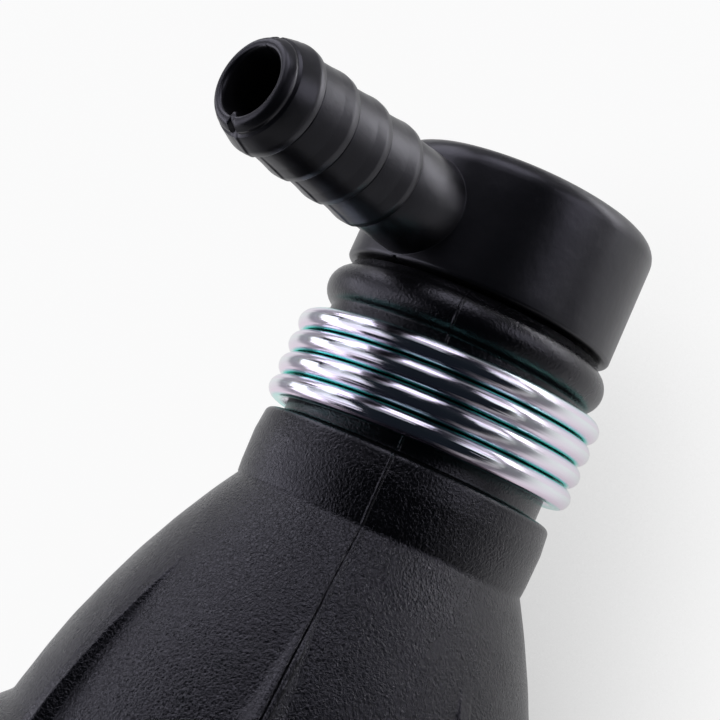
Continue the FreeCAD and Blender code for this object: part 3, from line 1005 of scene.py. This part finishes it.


# Check valves, whose CAD shapes stay, apart from the springs, which are wound again from wire; a real spring
# shortens when its poppet lifts, but these are fixed at one length

finishes = {
    "valve_body": acetal,
    "poppet": acetal,
    "poppet_seal": seal,
    "spring_retainer": acetal,
}
for end in ("outlet", "inlet"):
    for name, material in finishes.items():
        node = frame["nodes"][f"{end}_{name}"]
        node.data.materials.clear()
        node.data.materials.append(material)


def valve_spring(name, node, body):
    """A light coil spring between a poppet's disc and its retainer, where the spring's far end is held."""
    low, high = (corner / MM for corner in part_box(node))
    length = high.x - low.x
    pitch = (length - spring_thickness) / spring_turns
    start = low.x + spring_thickness / 2 - middle
    points = wound_wire(
        start, pitch, spring_turns, spring_radius, spring_thickness, first_angle=180,
        steps_per_turn=36, facets=12,
    )
    faces = quads(*points.shape[:2], wrap_columns=True)
    made = new_piece(name, points, faces, stainless)
    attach(made, body)
    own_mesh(made)
    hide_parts(node)


valve_spring("outlet_valve_spring_wire", "outlet_valve_spring", "outlet_fitting")
valve_spring("inlet_valve_spring_wire", "inlet_valve_spring", "bulb_body")


# Bench, studio and camera

def seen_and_mirrored(tree):
    """Whether a ray comes straight from the camera, and whether it comes off or through a part."""
    path = add_node(tree, "ShaderNodeLightPath")
    mirrored = add_node(tree, "ShaderNodeMath", {
        0: path.outputs["Is Glossy Ray"], 1: path.outputs["Is Transmission Ray"],
    }, operation="MAXIMUM").outputs[0]
    return path.outputs["Is Camera Ray"], mirrored


def bench():
    """A white bench top. What the camera sees of it is mostly plain white glow, with a painted shadow close
    to the part, where the part hides the sky from it. Metal and glossy parts see a painted glow on it,
    strongest near the part and fading further out."""
    camera_share = 0.95
    shadow_reach = 30.0
    material = bpy.data.materials.new("white_bench_top")
    material.use_nodes = True
    tree = material.node_tree
    tree.nodes.clear()
    seen, mirrored = seen_and_mirrored(tree)
    where = add_node(tree, "ShaderNodeTexCoord").outputs["Object"]
    outlet_end = (50 * MM, 20 * MM, 0)
    from_part = add_node(tree, "ShaderNodeVectorMath", {
        0: where, 1: outlet_end,
    }, operation="DISTANCE").outputs["Value"]
    # painted glow: mirrored rays see the bench glow brighter near the part, fading further out
    painted_glow_near_part = add_node(tree, "ShaderNodeMapRange", {
        "Value": from_part, "From Min": 60 * MM, "From Max": 140 * MM, "To Min": 0.75, "To Max": 0.1,
    }, interpolation_type="SMOOTHSTEP").outputs[0]
    share = add_node(tree, "ShaderNodeMath", {0: seen, 1: camera_share}, operation="MULTIPLY").outputs[0]
    share = add_node(tree, "ShaderNodeMath", {
        0: mirrored, 1: painted_glow_near_part, 2: share,
    }, operation="MULTIPLY_ADD").outputs[0]
    matte = add_node(tree, "ShaderNodeBsdfDiffuse", {"Color": (0.45, 0.45, 0.46, 1)})
    open_sky = add_node(tree, "ShaderNodeAmbientOcclusion", {
        "Distance": shadow_reach * MM,
    }, samples=8).outputs["AO"]
    # painted shadow: the bench's white glow is dimmed where the part hides the sky from it
    painted_shadow_strength = add_node(tree, "ShaderNodeMapRange", {
        "Value": open_sky, "From Min": 0.1, "From Max": 0.8, "To Min": 0.45, "To Max": 1.0,
    }).outputs[0]
    white = add_node(tree, "ShaderNodeEmission", {"Color": (1, 1, 1, 1), "Strength": painted_shadow_strength})
    mixed = add_node(tree, "ShaderNodeMixShader", {0: share, 1: matte.outputs[0], 2: white.outputs[0]})
    add_node(tree, "ShaderNodeOutputMaterial", {"Surface": mixed.outputs[0]})
    half = 900.0
    points = np.array([[-half, -half, 0], [half, -half, 0], [half, half, 0], [-half, half, 0]]) * MM
    mesh = bpy.data.meshes.new("bench_top")
    mesh.from_pydata(points.tolist(), [], [[0, 1, 2, 3]])
    mesh.materials.append(material)
    made = bpy.data.objects.new("bench_top", mesh)
    bpy.context.scene.collection.objects.link(made)


def studio_world():
    """A dark room, which keeps the black parts black, with a pale backdrop that fades out upwards."""
    world = bpy.data.worlds.new("studio")
    bpy.context.scene.world = world
    world.use_nodes = True
    tree = world.node_tree
    tree.nodes.clear()
    way = add_node(tree, "ShaderNodeTexCoord").outputs["Generated"]
    height = add_node(tree, "ShaderNodeSeparateXYZ", {0: way}).outputs["Z"]
    seen, mirrored = seen_and_mirrored(tree)
    low = add_node(tree, "ShaderNodeMapRange", {
        "Value": height, "From Min": 0.02, "From Max": 0.25, "To Min": 0.4, "To Max": 0.0,
    }, interpolation_type="SMOOTHSTEP").outputs[0]
    tall = add_node(tree, "ShaderNodeMapRange", {
        "Value": height, "From Min": 0.4, "From Max": 0.9, "To Min": 0.96, "To Max": 0.3,
    }, interpolation_type="SMOOTHSTEP").outputs[0]
    share = add_node(tree, "ShaderNodeMath", {0: low, 1: mirrored}, operation="MULTIPLY").outputs[0]
    share = add_node(tree, "ShaderNodeMath", {
        0: tall, 1: seen, 2: share,
    }, operation="MULTIPLY_ADD").outputs[0]
    colour = add_node(tree, "ShaderNodeMix", {
        "Factor": share, "A": linear("#14191f"), "B": linear("#ffffff"),
    }, data_type="RGBA")
    back = add_node(tree, "ShaderNodeBackground", {"Color": colour.outputs["Result"]})
    add_node(tree, "ShaderNodeOutputWorld", {"Surface": back.outputs[0]})


def softbox(name, azimuth, elevation, width, height, brightness):
    """A lamp with a cool white face that points at the part. Brightness is what its face shows."""
    aim = Vector((40, 0, 30))
    distance = 520.0
    a, e = math.radians(azimuth), math.radians(elevation)
    way = Vector((math.cos(a) * math.cos(e), math.sin(a) * math.cos(e), math.sin(e)))
    data = bpy.data.lights.new(name, "AREA")
    data.shape = "RECTANGLE"
    data.size = width * MM
    data.size_y = height * MM
    data.energy = brightness * 4 * data.size * data.size_y  # an area lamp's face shows energy / (4 area)
    data.color = (0.89, 0.88, 1.0)
    lamp = bpy.data.objects.new(name, data)
    lamp.location = (aim + way * distance) * MM
    lamp.rotation_euler = (-way).to_track_quat("-Z", "Y").to_euler()
    lamp.visible_camera = False
    bpy.context.scene.collection.objects.link(lamp)


def bench_lamp():
    """A narrow lamp above the bench's outlet end, whose bright spot on the bench shows in the side barb."""
    data = bpy.data.lights.new("bench_spot", "SPOT")
    data.energy = 165.0
    data.spot_size = math.radians(12)
    data.spot_blend = 1.0
    data.shadow_soft_size = 30 * MM
    lamp = bpy.data.objects.new("bench_spot", data)
    lamp.location = Vector((230, -110, 590)) * MM
    lit_spot = Vector((158, -65, 0)) * MM
    way = lit_spot - lamp.location
    lamp.rotation_euler = way.to_track_quat("-Z", "Y").to_euler()
    bpy.context.scene.collection.objects.link(lamp)


def photo_camera():
    """The camera of the photograph, fitted to the part's outline in it: a long lens, close above the outlet
    end, rolled."""
    data = bpy.data.cameras.new("photo_camera")
    data.sensor_width = 36.0
    data.lens = 78.56
    data.clip_start = 0.01
    data.clip_end = 20.0
    camera = bpy.data.objects.new("photo_camera", data)
    place = Vector((middle + 37.92, -67.59, axis_height + 123.45))
    aim = Vector((middle + 53.60, 6.67, axis_height + 4.15))
    roll = Quaternion((0, 0, 1), math.radians(-55.56))
    camera.rotation_mode = "QUATERNION"
    camera.location = place * MM
    camera.rotation_quaternion = (aim - place).to_track_quat("-Z", "Y") @ roll
    bpy.context.scene.collection.objects.link(camera)
    bpy.context.scene.camera = camera


bench()
studio_world()
for softbox_row in (  # name, azimuth, elevation, width, height, brightness
    ("far_softbox", 112, 45, 300, 380, 0.85),
    ("far_inner_softbox", 79, 36, 200, 200, 0.45),
    ("far_strip", 108, 14, 560, 200, 1.35),
    ("side_softbox", 47, 23, 280, 370, 1.4),
    ("outlet_softbox", 2, 29.5, 310, 210, 1.5),
    ("outlet_upper_softbox", 2, 51, 310, 180, 0.45),
    ("near_softbox", -56, 14, 290, 250, 0.95),
):
    softbox(*softbox_row)
bench_lamp()
photo_camera()
bpy.context.scene.view_settings.view_transform = "Standard"
